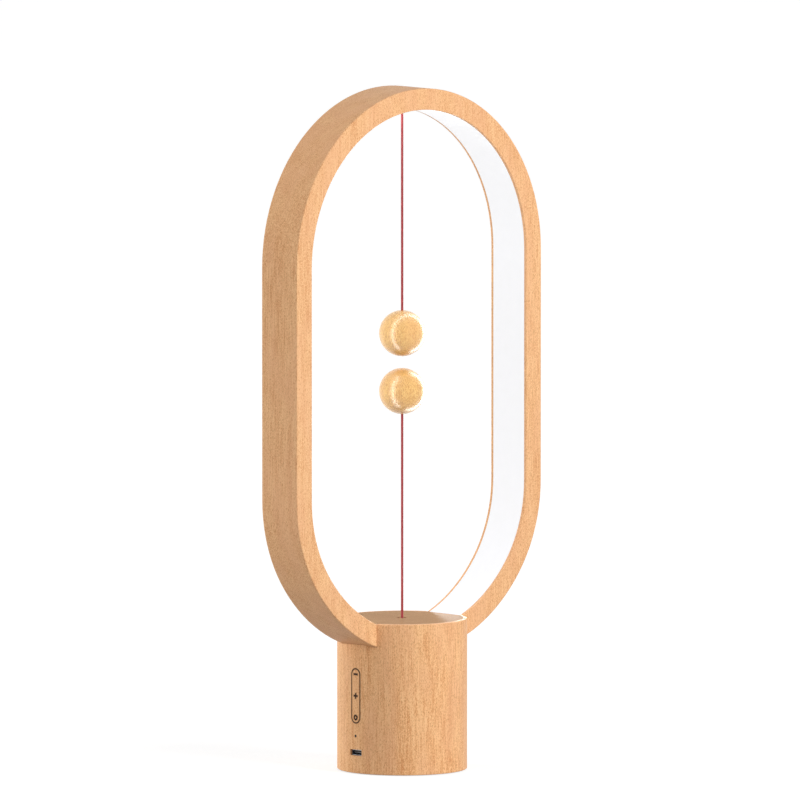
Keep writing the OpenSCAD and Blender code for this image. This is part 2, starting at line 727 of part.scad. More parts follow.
module switch_leads() color("#222222") for (side = [-1, 1])
    translate([-board_in_x + wire_gap, side * (terminal_t / 2 + wire_gap + wire_r),
        switch_low_z - terminal_len / 2])
        rotate([0, 90, 0]) cylinder(r = wire_r, h = board_in_x + side * terminal_x + terminal_w / 2);

// ---------------------------------------------------------------- inner frame

post_x = 10;
post_y = 20;
post_r = 2;
frame_r = inner_r - 3 * loose;
module frame_posts(r, z0, z1) for (y = [-post_y, post_y]) translate([post_x, y, 0]) rod_z(r, z0, z1);

// A half space that keeps what lies inside of the circuit board's bay
module inside_bay() translate([-bay_x, -base_r, 0]) cube([base_d, base_d, base_h]);

module inner_frame() color("#e9e6df") difference() {
    union() {
        intersection() {
            rod_z(frame_r, frame_z, frame_z + frame_t);
            inside_bay();
        }
        frame_posts(post_r, weight_z, frame_z + eps);
        translate([-bay_x, spine_y, frame_z]) cube([bay_x + spine_x, frame_t, saddle_z - fit - frame_z]);
        for (z = board_screw_zs)
            rod_x(boss_r, bay_x - boss_len - boss_floor, board_in_x - fit, boss_y, z);
    }
    for (z = board_screw_zs) rod_x(screw_r + fit, bay_x - boss_len, board_in_x, boss_y, z);
    for (x = [-switch_hole_x, switch_hole_x]) translate([x, 0, switch_hole_z]) rotate([90, 0, 0])
        cylinder(r = screw_r + fit, h = 2 * base_r, center = true);
}

module circuit_board() color("#1f6b3c") difference() {
    plate_x(board_in_x, board_x) translate([-board_half_w, board_low_z])
        square([2 * board_half_w, board_top_z - board_low_z]);
    for (z = board_screw_zs) rod_x(screw_r + loose, board_in_x - eps, board_x + eps, boss_y, z);
}

// Charger, touch controller, driver and coil: [y, z, width, height, thickness]
board_parts = [[-6, 18, 4, 4, 0.9], [-6, 28, 5, 5, 0.9], [-6, 42, 4, 4, 0.9], [8.5, 30, 5, 5, 2.4]];
module board_chips() color("#26262a") for (p = board_parts)
    plate_x(board_in_x - fit - p[4], board_in_x - fit) translate([p[0], p[1]])
        square([p[2], p[3]], center = true);

module board_screws() color("#9a9ca0") for (z = board_screw_zs) {
    rod_x(screw_head_r, board_x + fit, board_x + fit + flat_head_t, boss_y, z);
    rod_x(screw_r, bay_x - boss_len * 0.9, board_x + fit + flat_head_t / 2, boss_y, z);
}

module socket_shell() color("#a8aab0") difference() {
    plate_x(board_x + fit, socket_x) translate([0, socket_z])
        polygon(rounded_rect(socket_w, socket_h, socket_r, edge_steps));
    plate_x(board_x + socket_back_t, socket_x + eps) translate([0, socket_z])
        polygon(rounded_rect(socket_w - 2 * socket_wall, socket_h - 2 * socket_wall,
            socket_r - socket_wall, edge_steps));
}

tongue_w = 6.5;
tongue_t = 0.7;
tongue_inset = 1;
module socket_tongue() color("#1c1c1f") plate_x(board_x + socket_back_t + fit, socket_x - tongue_inset)
    translate([0, socket_z]) square([tongue_w, tongue_t], center = true);

lens_inset = 0.15;
module indicator_lens() color("#4a3524")
    rod_x(indicator_r, board_x + fit, base_r - lens_inset, 0, indicator_z);

module touch_film() color("#d08a3c") plate_x(film_x - fit - film_t, film_x - fit)
    translate([-film_half_w, film_low_z]) square([2 * film_half_w, film_top_z - film_low_z]);

module touch_springs() color("silver") for (i = [-1, 0, 1]) difference() {
    rod_x(touch_spring_r, board_x + fit, film_x - film_t - 2 * fit, 0, key_z + i * key_pitch);
    rod_x(touch_spring_r - touch_spring_wall, board_x, film_x, 0, key_z + i * key_pitch);
}

module battery() color("#8fa3b8") translate([0, battery_y + battery_t / 2, battery_z])
    linear_extrude(battery_h) polygon(rounded_rect(battery_w, battery_t, battery_edge_r, edge_steps));

module battery_tape() color("white")
    translate([-tape_side / 2, spine_y + frame_t + fit, battery_z + (battery_h - tape_side) / 2])
        cube([tape_side, tape_t, tape_side]);

battery_lead_z = battery_z + battery_h * 0.85;
module battery_leads() color("#b03030") for (y = [0.2, 0.5])
    rod_x(wire_r, battery_w / 2 + wire_gap, board_in_x - wire_gap, battery_y + y * battery_t,
        battery_lead_z);

module steel_weight() color("#8a8c90") difference() {
    intersection() {
        rod_z(weight_r, weight_z, weight_z + weight_t);
        inside_bay();
    }
    frame_posts(post_r + loose, weight_z - eps, weight_z + weight_t + eps);
}

module bottom_cover() color("#2f2f33") difference() {
    rod_z(cover_r - loose, foot_t, ledge_z - fit);
    cover_screw_places() {
        rod_z(screw_r + loose, foot_t - eps, ledge_z + eps);
        translate([0, 0, foot_t - fit])
            cylinder(r1 = screw_head_r + loose, r2 = screw_r + loose, h = screw_head_t + fit);
    }
}

module cover_screws() color("#9a9ca0") cover_screw_places()
    translate([0, 0, foot_t + fit]) wood_screw(cover_screw_len - fit);

module foot_ring() color("#3a3a3a") difference() {
    rod_z(foot_r, 0, foot_t);
    rod_z(foot_r - foot_w, -eps, foot_t + eps);
}

ring_frame();
light_band();
light_strip();
light_chips();
strip_leads();
top_cord_seat();
top_cord_knot();
upper_cord();
upper_ball_knot();
upper_ball();
upper_magnet();
upper_magnet_plug();
base_body();
base_top();
low_cord_seat();
ring_saddle();
ring_screws();
low_cord_knot();
lower_cord();
lower_ball_knot();
lower_ball();
lower_magnet();
lower_magnet_plug();
pull_rod();
return_spring();
switch_body();
switch_lever();
switch_plunger();
lever_pin();
switch_terminals();
switch_screws();
switch_leads();
inner_frame();
circuit_board();
board_chips();
board_screws();
socket_shell();
socket_tongue();
indicator_lens();
touch_film();
touch_springs();
battery();
battery_tape();
battery_leads();
steel_weight();
bottom_cover();
cover_screws();
foot_ring();
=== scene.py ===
"""Looks for the magnetic balance lamp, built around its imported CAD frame.

The CAD solids keep their shapes and get their finishes here. Braided cords stand for the two plain ones,
cross-recessed screws for the plain cover screws, and contacts lie on the charging socket's tongue. Lengths are in
metres and colours are written as sRGB numbers from 0 to 255.
"""

from __future__ import annotations

import logging
import math
from collections.abc import Iterable, Mapping
from dataclasses import dataclass, field, replace
from enum import Enum
from functools import lru_cache
from typing import Any, Union

import bpy
import numpy as np
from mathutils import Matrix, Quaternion, Vector

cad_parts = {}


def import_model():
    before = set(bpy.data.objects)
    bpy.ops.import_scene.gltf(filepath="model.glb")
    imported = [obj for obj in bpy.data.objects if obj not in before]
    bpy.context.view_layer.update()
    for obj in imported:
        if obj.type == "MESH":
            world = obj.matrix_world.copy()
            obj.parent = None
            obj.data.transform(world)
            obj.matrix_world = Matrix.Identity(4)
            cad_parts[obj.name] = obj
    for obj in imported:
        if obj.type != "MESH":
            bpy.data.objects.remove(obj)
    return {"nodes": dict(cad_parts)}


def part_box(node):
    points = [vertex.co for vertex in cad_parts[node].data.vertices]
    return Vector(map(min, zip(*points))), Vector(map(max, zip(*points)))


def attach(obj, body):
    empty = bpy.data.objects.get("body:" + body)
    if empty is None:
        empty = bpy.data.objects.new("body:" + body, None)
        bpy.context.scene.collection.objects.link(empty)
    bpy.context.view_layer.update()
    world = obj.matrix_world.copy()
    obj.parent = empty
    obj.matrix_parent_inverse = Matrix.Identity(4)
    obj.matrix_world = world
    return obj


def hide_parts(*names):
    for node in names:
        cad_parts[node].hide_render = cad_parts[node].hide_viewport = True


LOG = logging.getLogger("balance_lamp")
MM = 0.001
Colour = tuple[float, float, float]
Cell = tuple[float, float, float]


def linear(colour: Colour) -> tuple[float, float, float, float]:
    """Turns an sRGB colour into the linear one that a shader takes.

    Args:
        colour: red, green and blue from 0 to 255.

    Returns:
        Linear red, green, blue and an alpha of 1.
    """
    parts = [c / 255 for c in colour]
    return (*(p / 12.92 if p <= 0.04045 else ((p + 0.055) / 1.055) ** 2.4 for p in parts), 1.0)


def add_node(
    tree: bpy.types.NodeTree, kind: str, settings: Mapping[str, Any], inputs: Mapping[Any, Any]
) -> bpy.types.Node:
    """Adds a node to a tree.

    Args:
        tree: the node tree.
        kind: the node's type.
        settings: its own settings, set first.
        inputs: links or values for its sockets, by name or number.

    Returns:
        The node.
    """
    node = tree.nodes.new(kind)
    for key, value in settings.items():
        setattr(node, key, value)
    for key, value in inputs.items():
        if isinstance(value, bpy.types.NodeSocket):
            tree.links.new(value, node.inputs[key])
        else:
            node.inputs[key].default_value = value
    return node


# ---- shader maths


Number = Union["Value", float]


class Value:
    """A shader output that takes part in Python arithmetic. Each operation adds one Math node."""

    def __init__(self, shader: Shader, output: bpy.types.NodeSocket) -> None:
        """Keeps the output and the shader that it belongs to."""
        self.shader = shader
        self.output = output

    def maths(self, operation: str, *values: Number) -> Value:
        """Adds a Math node with these inputs, in order, and gives its result."""
        return self.shader.node("ShaderNodeMath", {"operation": operation}, dict(enumerate(values)))

    def __add__(self, other: Number) -> Value:
        """self + other."""
        return self.maths("ADD", self, other)

    __radd__ = __add__

    def __sub__(self, other: Number) -> Value:
        """self - other."""
        return self.maths("SUBTRACT", self, other)

    def __rsub__(self, other: Number) -> Value:
        """other - self."""
        return self.maths("SUBTRACT", other, self)

    def __mul__(self, other: Number) -> Value:
        """self * other."""
        return self.maths("MULTIPLY", self, other)

    __rmul__ = __mul__

    def __truediv__(self, other: Number) -> Value:
        """self / other."""
        return self.maths("DIVIDE", self, other)

    def __pow__(self, other: float) -> Value:
        """self to a power."""
        return self.maths("POWER", self, other)

    def __abs__(self) -> Value:
        """The size of self without its sign."""
        return self.maths("ABSOLUTE", self)

    def root(self) -> Value:
        """The square root."""
        return self.maths("SQRT", self)

    def sine(self) -> Value:
        """The sine of self in radians."""
        return self.maths("SINE", self)

    def most(self, other: Number) -> Value:
        """The larger of the two."""
        return self.maths("MAXIMUM", self, other)

    def least(self, other: Number) -> Value:
        """The smaller of the two."""
        return self.maths("MINIMUM", self, other)

    def below(self, limit: float) -> Value:
        """1 where self is below the limit, else 0."""
        return self.maths("LESS_THAN", self, limit)

    def rise(self, start: float, end: float) -> Value:
        """A smooth step.

        Args:
            start: where the step is 0.
            end: where it is 1, on either side of start.

        Returns:
            The step, from 0 to 1.
        """
        low, high = (0.0, 1.0) if end > start else (1.0, 0.0)
        return self.shader.node(
            "ShaderNodeMapRange",
            {"interpolation_type": "SMOOTHSTEP"},
            {0: self, 1: min(start, end), 2: max(start, end), 3: low, 4: high},
        )


Input = Union[Value, float, tuple[float, ...]]


class Shader:
    """One material while its nodes are laid out."""

    def __init__(self, name: str) -> None:
        """Makes an empty node material of that name."""
        self.material = bpy.data.materials.new(name)
        self.material.use_nodes = True
        self.tree = self.material.node_tree
        self.tree.nodes.clear()

    def node(self, kind: str, settings: Mapping[str, Any], inputs: Mapping[Any, Input], output: Any = 0) -> Value:
        """Adds a node.

        Args:
            kind: its type.
            settings: its own settings, set first.
            inputs: numbers, vectors or links for its sockets, by name or number.
            output: which of its outputs is wanted.

        Returns:
            That output.
        """
        sockets = {key: value.output if isinstance(value, Value) else value for key, value in inputs.items()}
        return Value(self, add_node(self.tree, kind, settings, sockets).outputs[output])

    def place(self) -> Value:
        """The point in the object's own coordinates."""
        return self.node("ShaderNodeTexCoord", {}, {}, "Object")

    def axes(self) -> tuple[Value, Value, Value]:
        """The point's x, y and z in millimetres."""
        split = self.node("ShaderNodeSeparateXYZ", {}, {0: self.place()})
        outputs = split.output.node.outputs
        return tuple(Value(self, outputs[i]) * (1 / MM) for i in range(3))

    def stretched(self, cell: Cell, shift: float = 0.0) -> Value:
        """Coordinates in which a pattern's cell has the given size.

        Args:
            cell: the cell's size along x, y and z, in millimetres.
            shift: moves the pattern, so that two pieces don't share one.

        Returns:
            The coordinates.
        """
        scale = tuple(1 / (MM * c) for c in cell)
        move = (shift, shift * 1.7, shift * 2.3)
        return self.node("ShaderNodeMapping", {"vector_type": "POINT"}, {0: self.place(), 1: move, 3: scale})

    def noise(self, cell: Cell, shift: float = 0.0, detail: float = 2.0) -> Value:
        """Soft noise from 0 to 1, with lumps of the cell's size in millimetres and finer layers as detail says."""
        where = self.stretched(cell, shift)
        return self.node("ShaderNodeTexNoise", {}, {"Vector": where, "Scale": 1.0, "Detail": detail})

    def cells(self, cell: Cell, shift: float = 0.0) -> Value:
        """The distance, in cells, to the nearest of many scattered points."""
        where = self.stretched(cell, shift)
        return self.node("ShaderNodeTexVoronoi", {"feature": "F1"}, {"Vector": where, "Scale": 1.0}, "Distance")

    def blend(self, first: Input, second: Input, share: Input) -> Value:
        """Mixes two colours: the first where share is 0, the second where it is 1."""
        settings = {"data_type": "RGBA", "blend_type": "MIX", "clamp_factor": True}
        return self.node("ShaderNodeMix", settings, {0: share, 6: first, 7: second}, 2)

    def relief(self, height: Value, depth: float, strength: float = 1.0) -> Value:
        """A normal bumped by a height from 0 to 1, which stands for that depth in millimetres."""
        return self.node("ShaderNodeBump", {}, {"Strength": strength, "Distance": depth * MM, "Height": height})

    def finish(self, inputs: Mapping[str, Input]) -> bpy.types.Material:
        """Ends the material in a Principled surface.

        Args:
            inputs: the surface's sockets by name.

        Returns:
            The material.
        """
        surface = self.node("ShaderNodeBsdfPrincipled", {}, inputs)
        add_node(self.tree, "ShaderNodeOutputMaterial", {}, {"Surface": surface.output})
        return self.material


# ---- finishes


@dataclass(frozen=True)
class Finish:
    """A finish that pieces share; each kind lays out its own material."""

    name: str

    def build(self) -> bpy.types.Material:
        """Makes the material."""
        raise NotImplementedError(self.name)


@lru_cache(maxsize=None)
def material_of(finish: Finish) -> bpy.types.Material:
    """The finish's material, made once."""
    return finish.build()


@dataclass(frozen=True)
class TouchMarks:
    """The laser-burnt touch marks on the base's -X side, in millimetres as they are cut in the CAD body.

    Scorch is how burnt the wood is beside the cut, and char is what the cut itself adds.
    """

    outer_r: float = 38.0
    middle_z: float = 46.0
    pitch: float = 12.7
    outline_len: float = 32.3
    outline_r: float = 3.65
    outline_line: float = 0.5
    mark_half: float = 1.6
    mark_line_half: float = 0.45
    halo: float = 0.55
    dot_z: float = 22.458
    dot_r: float = 0.55
    below: float = 3.8
    around: float = 5.0
    cut: float = 0.06
    scorch: float = 0.66
    char: float = 0.58

    def bar(self, across: Value, up: Value) -> Value:
        """Distance outside a level bar."""
        return (abs(across) - self.mark_half).most(abs(up) - self.mark_line_half)

    def burn(self, x: Value, y: Value, z: Value) -> Value:
        """How burnt the wood is.

        Args:
            x: the point's x in millimetres.
            y: its y.
            z: its z.

        Returns:
            1 in the cut, falling to 0 past the scorched wood beside it.
        """
        up = z - self.middle_z
        line_r = self.outline_r - self.outline_line / 2
        past = (abs(up) - (self.outline_len / 2 - self.outline_r)).most(0.0)
        outline = abs((y * y + past * past).root() - line_r) - self.outline_line / 2
        minus = self.bar(y, up - self.pitch)
        plus = self.bar(y, up).least((abs(up) - self.mark_half).most(abs(y) - self.mark_line_half))
        low = up + self.pitch
        ring = abs((y * y + low * low).root() - (self.mark_half - self.mark_line_half)) - self.mark_line_half
        drop = z - self.dot_z
        dot = (y * y + drop * drop).root() - self.dot_r
        near = outline.least(minus).least(plus).least(ring).least(dot)
        side = x.below(0.0) * abs(y).below(self.outline_r + 1)
        side = side * abs(up + self.below).below(self.outline_len / 2 + self.around)
        sunk = (x * x + y * y).root().below(self.outer_r - self.cut)
        return (near.rise(self.halo, 0.0) * self.scorch + sunk * self.char).least(1.0) * side


@dataclass(frozen=True)
class Beech(Finish):
    """Solid beech: growth rings round a far pith, upright lines and fibres, a slow blush and short ray flecks.

    Each cell is a pattern's size in millimetres along x, y and z, and each share is how much of it shows.
    """

    pale: Colour = (254, 206, 150)
    deep: Colour = (213, 149, 91)
    rosy: Colour = (240, 184, 140)
    fleck: Colour = (178, 116, 62)
    scorched: Colour = (54, 30, 17)
    shift: float = 0.0
    pith: tuple[float, float] = (75.0, 110.0)
    lean: tuple[float, float] = (0.10, -0.06)
    ring_step: float = 4.6
    ring_wander: float = 14.0
    ring_share: float = 0.12
    roughness: float = 0.52
    coat: float = 0.0
    coat_roughness: float = 0.12
    specular: float = 0.3
    wander_cell: Cell = (32.0, 32.0, 150.0)
    band_cell: Cell = (8.0, 8.0, 240.0)
    band_share: float = 0.6
    line_cell: Cell = (0.38, 0.38, 14.0)
    line_share: float = 2.3
    fibre_cell: Cell = (0.28, 0.28, 0.9)
    fibre_share: float = 3.2
    darker: float = 2.36
    blush_cell: Cell = (13.0, 13.0, 40.0)
    blush_share: float = 0.4
    fleck_cell: Cell = (0.8, 0.8, 2.6)
    fleck_share: float = 0.5
    marks: Union[TouchMarks, None] = None

    def build(self) -> bpy.types.Material:
        """Makes the material."""
        s = Shader(self.name)
        x, y, z = s.axes()
        wander = s.noise(self.wander_cell, self.shift, 1.0)
        across = x - self.pith[0] + z * self.lean[0]
        along = y - self.pith[1] + z * self.lean[1]
        reach = (across * across + along * along).root() + wander * self.ring_wander
        rings = ((reach * (2 * math.pi / self.ring_step)).sine() * 0.5 + 0.5) ** 2.0
        bands = s.noise(self.band_cell, self.shift + 0.7, 1.0)
        lines = s.noise(self.line_cell, self.shift + 0.5, 1.0)
        fibres = s.noise(self.fibre_cell, self.shift + 0.9, 1.0)
        tone = bands * self.band_share + lines * self.line_share + fibres * self.fibre_share
        tone = tone - rings * self.ring_share - self.darker
        colour = s.blend(linear(self.deep), linear(self.pale), tone)
        blush = s.noise(self.blush_cell, self.shift + 2.7, 1.0).rise(0.35, 0.7)
        colour = s.blend(colour, linear(self.rosy), blush * self.blush_share)
        flecks = s.cells(self.fleck_cell, self.shift + 1.1).rise(0.32, 0.16) * self.fleck_share
        colour = s.blend(colour, linear(self.fleck), flecks)
        height = lines * 0.4 + (1 - flecks) * 0.3
        if self.marks:
            burn = self.marks.burn(x, y, z)
            colour = s.blend(colour, linear(self.scorched), burn)
        return s.finish(
            {
                "Base Color": colour,
                "Roughness": (lines - 0.5) * 0.2 + self.roughness,
                "Coat Weight": self.coat,
                "Coat Roughness": self.coat_roughness,
                "Specular IOR Level": self.specular,
                "Normal": s.relief(height, 0.03, 0.06 if self.coat else 0.4),
            }
        )


@dataclass(frozen=True)
class Opal(Finish):
    """Milky silicone over the lit strip, softly alight."""

    colour: Colour = (150, 151, 153)
    cloud: Colour = (145, 146, 149)
    glow: Colour = (252, 252, 255)
    glow_cloud: Colour = (250, 250, 250)
    strength: float = 0.67

    def build(self) -> bpy.types.Material:
        """Makes the material."""
        s = Shader(self.name)
        cloud = s.noise((6, 6, 6), 0.2)
        skin = s.noise((0.5, 0.5, 0.5), 0.9)
        milky = s.blend(linear(self.colour), linear(self.cloud), cloud)
        return s.finish(
            {
                "Base Color": milky,
                "Roughness": skin * 0.15 + 0.38,
                "Emission Color": s.blend(linear(self.glow), linear(self.glow_cloud), cloud),
                "Emission Strength": self.strength,
                "Normal": s.relief(skin, 0.02, 0.3),
            }
        )


@dataclass(frozen=True)
class Threads(Finish):
    """Dyed threads, a little fuzzy, with painted shade between the strands: darker where the bump sits low."""

    pale: Colour = (174, 56, 60)
    # deep is both the dye's darker tone and the painted shade between the strands.
    deep: Colour = (132, 25, 31)

    def build(self) -> bpy.types.Material:
        """Makes the material."""
        s = Shader(self.name)
        strands = s.noise((0.12, 0.12, 0.5), 0.4, 3.0)
        slow = s.noise((4, 4, 9), 0.8)
        # Painted shade: the fine noise that sets the bump also darkens the colour, so the low places between
        # strands are darker. The slow noise is the dye's own uneven tone.
        tone = strands * 0.8 + slow * 0.4 - 0.1
        return s.finish(
            {
                "Base Color": s.blend(linear(self.deep), linear(self.pale), tone),
                "Roughness": strands * 0.2 + 0.6,
                "Sheen Weight": 0.35,
                "Normal": s.relief(strands, 0.02, 0.6),
            }
        )


@dataclass(frozen=True)
class Metal(Finish):
    """Plated, turned or rolled metal with fine tool marks and faint stains."""

    colour: Colour
    stain: Colour
    roughness: float = 0.3
    cell: Cell = (1.2, 1.2, 0.05)

    def build(self) -> bpy.types.Material:
        """Makes the material."""
        s = Shader(self.name)
        lines = s.noise(self.cell, 0.1, 3.0)
        stains = s.noise((5, 5, 5), 0.6).rise(0.45, 0.75)
        return s.finish(
            {
                "Base Color": s.blend(linear(self.colour), linear(self.stain), stains * 0.5),
                "Roughness": lines * 0.18 + stains * 0.12 + (self.roughness - 0.1),
                "Metallic": 1.0,
                "Normal": s.relief(lines, 0.01, 0.4),
            }
        )


@dataclass(frozen=True)
class Moulded(Finish):
    """Moulded plastic or rubber: fine grain, slight mottling and a few rubbed places."""

    colour: Colour
    rubbed: Colour
    roughness: float = 0.5
    grain: float = 0.4
    depth: float = 0.03
    coat: float = 0.0

    def build(self) -> bpy.types.Material:
        """Makes the material."""
        s = Shader(self.name)
        grain = s.cells((self.grain,) * 3, 0.3)
        mottling = s.noise((9, 9, 9), 0.5).rise(0.35, 0.8)
        return s.finish(
            {
                "Base Color": s.blend(linear(self.colour), linear(self.rubbed), mottling * 0.6 + grain * 0.2),
                "Roughness": mottling * 0.12 + (self.roughness - 0.06),
                "Coat Weight": self.coat,
                "Normal": s.relief(grain, self.depth, 0.5),
            }
        )


@dataclass(frozen=True)
class Circuit(Finish):
    """Solder mask over copper tracks, with bare tinned pads."""

    mask: Colour = (30, 104, 60)
    track: Colour = (52, 140, 84)
    pad: Colour = (200, 196, 180)

    def build(self) -> bpy.types.Material:
        """Makes the material."""
        s = Shader(self.name)
        _, y, z = s.axes()
        level = ((z * 2.9).sine() * 0.5 + 0.5).rise(0.62, 0.72)
        upright = ((y * 2.3).sine() * 0.5 + 0.5).rise(0.7, 0.8)
        region = s.noise((7, 7, 7), 0.4).rise(0.48, 0.52)
        tracks = level * region + upright * (1 - region)
        pads = s.cells((2.6, 2.6, 2.6), 0.9).rise(0.24, 0.18)
        colour = s.blend(s.blend(linear(self.mask), linear(self.track), tracks), linear(self.pad), pads)
        return s.finish(
            {
                "Base Color": colour,
                "Metallic": pads,
                "Roughness": pads * 0.1 + 0.28,
                "Normal": s.relief(tracks, 0.03, 0.5),
            }
        )


@dataclass(frozen=True)
class Foil(Finish):
    """A wrinkled metal foil pouch."""

    colour: Colour = (168, 176, 184)
    crease: Colour = (140, 148, 158)

    def build(self) -> bpy.types.Material:
        """Makes the material."""
        s = Shader(self.name)
        folds = s.noise((5, 5, 3), 0.2, 4.0)
        sheen = s.noise((1.5, 1.5, 1.5), 0.7)
        return s.finish(
            {
                "Base Color": s.blend(linear(self.colour), linear(self.crease), folds),
                "Metallic": 0.9,
                "Roughness": sheen * 0.2 + 0.25,
                "Normal": s.relief(folds, 0.3, 0.5),
            }
        )


@dataclass(frozen=True)
class Phosphor(Finish):
    """A light chip: a yellow phosphor window in a white case, told apart by its middle."""

    window: Colour = (246, 214, 110)
    case: Colour = (238, 236, 228)

    def build(self) -> bpy.types.Material:
        """Makes the material."""
        s = Shader(self.name)
        _, y, _ = s.axes()
        window = abs(y).rise(1.25, 1.05)
        grain = s.noise((0.2, 0.2, 0.2), 0.4)
        return s.finish(
            {
                "Base Color": s.blend(linear(self.case), linear(self.window), window * (grain * 0.3 + 0.7)),
                "Roughness": grain * 0.2 + 0.35,
                "Normal": s.relief(grain, 0.01, 0.4),
            }
        )


class Slot(Enum):
    """Three of the record's material slot names; no piece in this script is given one."""

    RED_CORD = "red_cord"
    TURNED_BRASS = "turned_brass"
    STEEL = "steel"


RING_BEECH = Beech("ring_beech", pale=(250, 201, 149), deep=(211, 145, 94), shift=0.4)
BASE_BEECH = Beech(
    "base_beech", pale=(254, 203, 149), deep=(212, 144, 90), shift=2.6, pith=(-30.0, 85.0), marks=TouchMarks()
)
# Painted shade: the top's beech is a darker, greyer copy of the drum's, standing in for how dark and grey the
# lacquered top looks at a grazing angle.
SHADED_TOP_BEECH = Beech(
    "top_beech",
    pale=(199, 160, 123),
    deep=(174, 135, 98),
    rosy=(192, 151, 115),
    fleck=(148, 109, 74),
    shift=3.9,
    coat=0.05,
    specular=0.0,
)
UPPER_BALL_BEECH = Beech(
    "upper_ball_beech",
    pale=(247, 201, 126),
    deep=(214, 154, 84),
    rosy=(238, 182, 120),
    shift=5.3,
    pith=(9.0, 16.0),
    roughness=0.4,
    coat=1.0,
    coat_roughness=0.27,
)
LOWER_BALL_BEECH = replace(UPPER_BALL_BEECH, name="lower_ball_beech", shift=7.1, pith=(-8.0, 18.0))
OPAL_SILICONE = Opal("opal_silicone")
STRIP_FILM = Moulded("strip_film", (240, 238, 228), (230, 226, 212), 0.45)
LIGHT_CHIP = Phosphor("light_chip")
RED_THREAD = Threads("red_thread")
TURNED_BRASS = Metal("turned_brass", (214, 178, 108), (176, 134, 70), 0.28)
CONTACT_GOLD = Metal("contact_gold", (230, 190, 110), (206, 164, 84), 0.22)
NICKEL = Metal("magnet_nickel", (214, 214, 212), (186, 186, 184), 0.14, (2, 2, 2))
ZINC_STEEL = Metal("zinc_steel", (176, 179, 184), (140, 142, 146), 0.32)
SPRING_STEEL = Metal("spring_steel", (186, 188, 190), (150, 150, 150), 0.25, (0.4, 0.4, 0.4))
WEIGHT_STEEL = Metal("weight_steel", (150, 152, 156), (122, 120, 116), 0.4, (0.6, 12, 0.6))
COPPER_FILM = Metal("copper_film", (214, 148, 96), (170, 108, 64), 0.3, (0.3, 0.3, 0.3))
WHITE_PLASTIC = Moulded("white_plastic", (232, 229, 222), (222, 218, 208), 0.55)
BLACK_PLASTIC = Moulded("black_plastic", (46, 46, 49), (58, 58, 61), 0.55, 0.6, 0.05)
GREY_PLASTIC = Moulded("grey_plastic", (96, 98, 102), (108, 110, 114), 0.45, 0.4)
CHIP_CASE = Moulded("chip_case", (36, 36, 38), (46, 46, 48), 0.4, 0.3)
RED_PLASTIC = Moulded("red_plastic", (190, 56, 46), (172, 46, 38), 0.35, coat=0.4)
SMOKED_LENS = Moulded("smoked_lens", (16, 9, 6), (13, 8, 5), 0.6, 0.8, 0.004)
WIRE_RED = Moulded("wire_red", (178, 42, 38), (160, 36, 32), 0.45)
WIRE_BLACK = Moulded("wire_black", (34, 34, 34), (44, 44, 44), 0.45)
CIRCUIT_GREEN = Circuit("circuit_green")
CELL_FOIL = Foil("cell_foil")
WHITE_TAPE = Moulded("white_tape", (232, 232, 230), (218, 218, 214), 0.8, 0.3)
FOOT_RUBBER = Moulded("foot_rubber", (52, 52, 53), (66, 66, 66), 0.85, 0.9, 0.12)


def paint(piece: bpy.types.Object, finish: Finish) -> None:
    """Gives a piece one finish all over.

    Args:
        piece: the mesh object.
        finish: its finish.
    """
    material = material_of(finish)
    if piece.material_slots:
        for slot in piece.material_slots:
            slot.material = material
    else:
        piece.data.materials.append(material)


# ---- mesh helpers


def mesh_object(name: str, points: np.ndarray, faces: Iterable[tuple[int, ...]]) -> bpy.types.Object:
    """Makes a mesh object at the origin and links it.

    Args:
        name: its name.
        points: its vertices.
        faces: its faces, each a tuple of vertex numbers.

    Returns:
        The object.
    """
    mesh = bpy.data.meshes.new(name)
    mesh.from_pydata([tuple(p) for p in points], [], list(faces))
    mesh.validate()
    mesh.update()
    made = bpy.data.objects.new(name, mesh)
    bpy.context.scene.collection.objects.link(made)
    return made


def lathe(name: str, radii: np.ndarray, heights: np.ndarray) -> bpy.types.Object:
    """Makes a closed round solid about the Z axis.

    Args:
        name: the object's name.
        radii: one row of radii for each height, one column for each step round.
        heights: the heights, rising.

    Returns:
        The object, with a point in the middle of each end.
    """
    rows, around = radii.shape
    angles = np.arange(around) * 2 * math.pi / around
    shell = np.stack(
        [radii * np.cos(angles), radii * np.sin(angles), np.repeat(heights[:, None], around, 1)], axis=2
    ).reshape(-1, 3)
    ends = np.array([[0, 0, heights[0]], [0, 0, heights[-1]]])
    low, high = rows * around, rows * around + 1
    faces: list[tuple[int, ...]] = []
    for k in range(around):
        after = (k + 1) % around
        faces += [(i * around + k, i * around + after, (i + 1) * around + after, (i + 1) * around + k)
                  for i in range(rows - 1)]
        faces += [(low, after, k), (high, (rows - 1) * around + k, (rows - 1) * around + after)]
    return mesh_object(name, np.vstack([shell, ends]), faces)


def prism(name: str, low: np.ndarray, high: np.ndarray) -> bpy.types.Object:
    """Makes a closed solid between two flat outlines of as many points, both counter-clockwise from above.

    Args:
        name: the object's name.
        low: the lower outline.
        high: the upper one.

    Returns:
        The object.
    """
    n = len(low)
    sides = [(k, (k + 1) % n, (k + 1) % n + n, k + n) for k in range(n)]
    return mesh_object(name, np.vstack([low, high]), [*sides, tuple(range(n - 1, -1, -1)), tuple(range(n, 2 * n))])


def smooth(piece: bpy.types.Object, angle: float = 40.0) -> None:
    """Shades a piece smooth, with edges sharper than the angle kept.

    Args:
        piece: the mesh object.
        angle: the sharpest edge that is smoothed, in degrees.
    """
    mesh = piece.data
    mesh.polygons.foreach_set("use_smooth", np.ones(len(mesh.polygons), bool))
    mesh.set_sharp_from_angle(angle=math.radians(angle))


